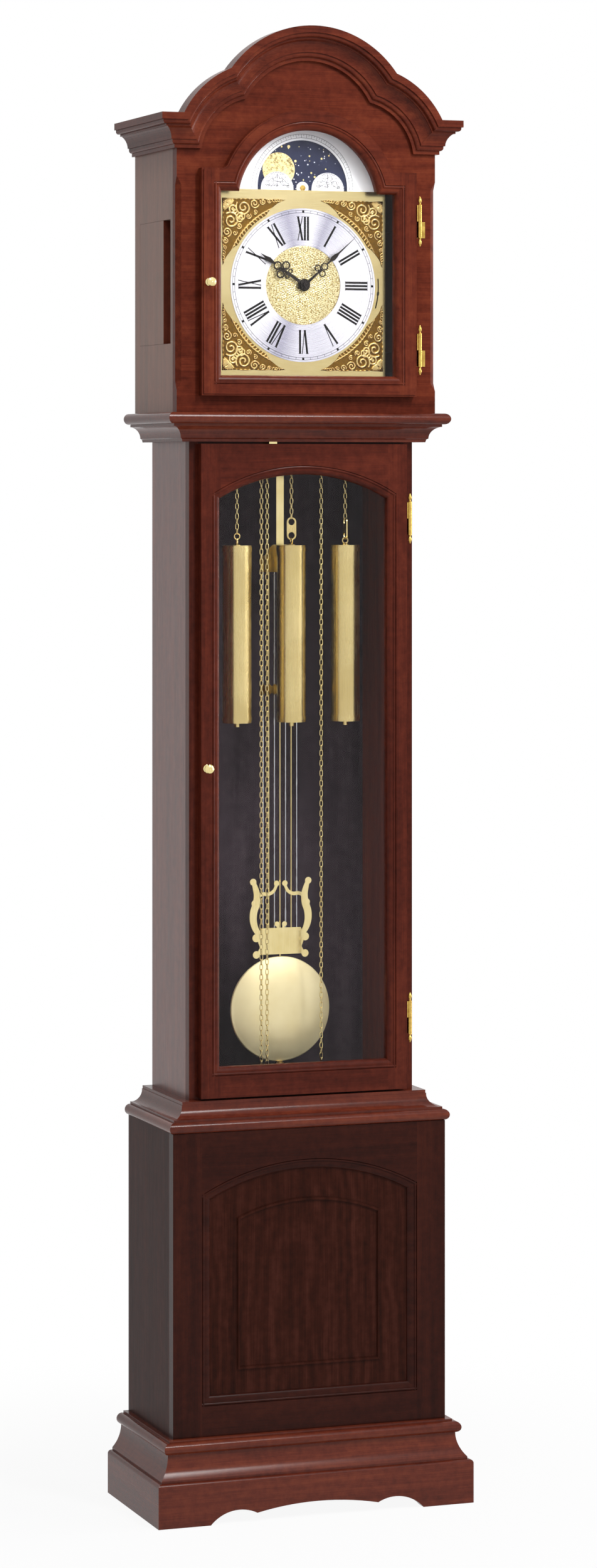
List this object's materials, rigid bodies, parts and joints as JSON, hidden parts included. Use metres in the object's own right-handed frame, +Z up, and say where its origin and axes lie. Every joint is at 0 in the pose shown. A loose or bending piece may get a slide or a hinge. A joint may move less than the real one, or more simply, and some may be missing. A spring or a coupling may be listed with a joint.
{
  "type": "longcase clock",
  "caption": "Tall wooden floor clock: plinth, panelled base, glazed waist with hanging weights and lyre pendulum, and a hood with an arched door over a moon dial",
  "frame": {"origin": "The middle of the floor under the plinth, halfway across its width and its depth", "axes": "+X to the right seen from the front, +Y back to the wall, +Z up"},
  "size_m": [0.48, 0.24, 2.1333],
  "materials": {
    "mahogany_polished": "Red-brown mahogany with fine upright grain under a satin lacquer",
    "walnut_front": "Darker figured veneer under the same satin lacquer",
    "plain_inner_wood": "Dark stained wood inside the case",
    "brass_polished": "Polished and lacquered brass",
    "brass_matt": "Brass, finely brushed",
    "brass_antique": "Cast brass, dark in its hollows",
    "silvered_ring": "Silvered ring with a radial sheen",
    "gold_hammered": "Gilt disc with a fine hammered texture",
    "white_painted_metal": "White enamel paint",
    "blue_painted_metal": "Dark blue painted sky with stars and two moons",
    "steel_bright": "Bright steel",
    "blackened_steel": "Blackened steel",
    "clear_glass": "Clear flat glass"
  },
  "bodies": {
    "case": {"plinth_boards": "mahogany_polished", "plinth_moulding": "mahogany_polished", "base_front": "walnut_front", "base_panel": "walnut_front", "base_sides": "mahogany_polished", "inner_boards": "plain_inner_wood", "waist_base_moulding": "mahogany_polished", "waist_sides": "mahogany_polished", "waist_stiles": "mahogany_polished", "back_panel": "plain_inner_wood", "hood_moulding": "mahogany_polished", "hood_sides": "mahogany_polished", "hood_front": "mahogany_polished", "cornice_moulding": "mahogany_polished", "dial_plate": "brass_matt", "spandrels": "brass_antique", "chapter_ring": "silvered_ring", "dial_centre": "gold_hammered", "moon_arch": "white_painted_metal", "movement_frame": "brass_polished", "chime_rods": "steel_bright", "case_hinges": "brass_matt"},
    "waist_door": {"waist_door_frame": "mahogany_polished", "waist_door_glass": "clear_glass", "waist_door_knob": "brass_matt", "waist_door_hinges": "brass_matt"},
    "hood_door": {"hood_door_frame": "mahogany_polished", "hood_door_glass": "clear_glass", "hood_door_knob": "brass_matt", "hood_door_hinges": "brass_matt"},
    "left_board": {"left_access_board": "mahogany_polished"},
    "right_board": {"right_access_board": "mahogany_polished"},
    "hour_hand": {"hour_hand": "blackened_steel", "hour_wheel": "brass_matt"},
    "minute_hand": {"minute_hand": "blackened_steel", "centre_arbor": "steel_bright"},
    "minute_wheel": {"minute_wheel": "brass_matt"},
    "moon_disc": {"moon_disc": "blue_painted_metal"},
    "chime_lever": {"chime_lever": "blackened_steel"},
    "pendulum": {"pendulum_leader": "brass_matt", "pendulum_plates": "brass_polished", "steel_rods": "steel_bright", "brass_rods": "brass_polished", "lyre": "brass_polished"},
    "bob": {"bob": "brass_polished"},
    "rating_nut": {"rating_nut": "brass_matt"},
    "anchor": {"anchor": "steel_bright"},
    "escape_wheel": {"escape_wheel": "brass_matt"},
    "weight_left": {"weight_left": "brass_polished", "chain_left": "brass_matt"},
    "weight_centre": {"weight_centre": "brass_polished", "chain_centre": "brass_matt"},
    "weight_right": {"weight_right": "brass_polished", "chain_right": "brass_matt"},
    "free_chain_left": {"free_chain_left": "brass_matt"},
    "free_chain_centre": {"free_chain_centre": "brass_matt"},
    "free_chain_right": {"free_chain_right": "brass_matt"},
    "chain_wheel_left": {"chain_wheel_left": "brass_matt"},
    "chain_wheel_centre": {"chain_wheel_centre": "brass_matt"},
    "chain_wheel_right": {"chain_wheel_right": "brass_matt"}
  },
  "joints": [
    {"name": "waist_door_hinge", "type": "hinge", "parent": "case", "child": "waist_door", "pos_m": [0.1624, -0.065, 1.07], "axis": [0, 0, 1], "range_deg": [0, 110]},
    {"name": "hood_door_hinge", "type": "hinge", "parent": "case", "child": "hood_door", "pos_m": [0.1689, -0.088, 1.76], "axis": [0, 0, 1], "range_deg": [0, 110]},
    {"name": "left_board_slide", "type": "slide", "parent": "case", "child": "left_board", "axis": [-1, 0, 0], "range_m": [0, 0.08]},
    {"name": "right_board_slide", "type": "slide", "parent": "case", "child": "right_board", "axis": [1, 0, 0], "range_m": [0, 0.08]},
    {"name": "minute_hand_turn", "type": "hinge", "parent": "case", "child": "minute_hand", "pos_m": [0, -0.064, 1.763], "axis": [0, 1, 0], "continuous": true},
    {"name": "hour_hand_turn", "type": "hinge", "parent": "case", "child": "hour_hand", "pos_m": [0, -0.06, 1.763], "axis": [0, 1, 0], "continuous": true},
    {"name": "minute_wheel_turn", "type": "hinge", "parent": "case", "child": "minute_wheel", "pos_m": [0.01697, -0.03, 1.74603], "axis": [0, 1, 0], "continuous": true},
    {"name": "moon_disc_turn", "type": "hinge", "parent": "case", "child": "moon_disc", "pos_m": [0, -0.0507, 1.9035], "axis": [0, 1, 0], "continuous": true},
    {"name": "chime_lever_turn", "type": "hinge", "parent": "case", "child": "chime_lever", "pos_m": [0, -0.0523, 1.763], "axis": [0, 1, 0], "range_deg": [-8, 8]},
    {"name": "pendulum_swing", "type": "hinge", "parent": "case", "child": "pendulum", "pos_m": [0, 0.044, 1.81], "axis": [0, 1, 0], "range_deg": [-3, 3]},
    {"name": "anchor_rock", "type": "hinge", "parent": "case", "child": "anchor", "pos_m": [0, 0.02, 1.81], "axis": [0, 1, 0], "range_deg": [-3, 3]},
    {"name": "rating_nut_turn", "type": "hinge", "parent": "bob", "child": "rating_nut", "pos_m": [0, 0.044, 0.6264], "axis": [0, 0, 1], "range_deg": [-2165, 2165]},
    {"name": "bob_slide", "type": "slide", "parent": "pendulum", "child": "bob", "axis": [0, 0, 1], "range_m": [-0.003, 0.003]},
    {"name": "escape_wheel_turn", "type": "hinge", "parent": "case", "child": "escape_wheel", "pos_m": [0, 0.0215, 1.7888], "axis": [0, 1, 0], "continuous": true},
    {"name": "weight_left_slide", "type": "slide", "parent": "case", "child": "weight_left", "axis": [0, 0, 1], "range_m": [-0.99, 0.08], "deforming": ["chain_left"]},
    {"name": "free_chain_left_slide", "type": "slide", "parent": "case", "child": "free_chain_left", "axis": [0, 0, 1], "range_m": [-0.081, 0.991], "deforming": ["free_chain_left"]},
    {"name": "chain_wheel_left_turn", "type": "hinge", "parent": "case", "child": "chain_wheel_left", "pos_m": [-0.0652, -0.006, 1.69], "axis": [0, 1, 0], "range_deg": [-3032.6, 246.9]},
    {"name": "weight_centre_slide", "type": "slide", "parent": "case", "child": "weight_centre", "axis": [0, 0, 1], "range_m": [-0.99, 0.08], "deforming": ["chain_centre"]},
    {"name": "free_chain_centre_slide", "type": "slide", "parent": "case", "child": "free_chain_centre", "axis": [0, 0, 1], "range_m": [-0.081, 0.991], "deforming": ["free_chain_centre"]},
    {"name": "chain_wheel_centre_turn", "type": "hinge", "parent": "case", "child": "chain_wheel_centre", "pos_m": [-0.0188, -0.006, 1.69], "axis": [0, 1, 0], "range_deg": [-246.9, 3032.6]},
    {"name": "weight_right_slide", "type": "slide", "parent": "case", "child": "weight_right", "axis": [0, 0, 1], "range_m": [-0.99, 0.08], "deforming": ["chain_right"]},
    {"name": "free_chain_right_slide", "type": "slide", "parent": "case", "child": "free_chain_right", "axis": [0, 0, 1], "range_m": [-0.081, 0.991], "deforming": ["free_chain_right"]},
    {"name": "chain_wheel_right_turn", "type": "hinge", "parent": "case", "child": "chain_wheel_right", "pos_m": [0.0648, -0.006, 1.69], "axis": [0, 1, 0], "range_deg": [-246.9, 3032.6]}
  ],
  "couplings": [
    {"joint": "minute_wheel_turn", "follows": "minute_hand_turn", "ratio": -0.33333},
    {"joint": "hour_hand_turn", "follows": "minute_hand_turn", "ratio": 0.083333},
    {"joint": "anchor_rock", "follows": "pendulum_swing", "ratio": 1},
    {"joint": "rating_nut_turn", "follows": "bob_slide", "rad_per_m": 12566},
    {"joint": "free_chain_left_slide", "follows": "weight_left_slide", "ratio": -1},
    {"joint": "chain_wheel_left_turn", "follows": "weight_left_slide", "rad_per_m": 53.428},
    {"joint": "free_chain_centre_slide", "follows": "weight_centre_slide", "ratio": -1},
    {"joint": "chain_wheel_centre_turn", "follows": "weight_centre_slide", "rad_per_m": -53.428},
    {"joint": "free_chain_right_slide", "follows": "weight_right_slide", "ratio": -1},
    {"joint": "chain_wheel_right_turn", "follows": "weight_right_slide", "rad_per_m": -53.428}
  ]
}
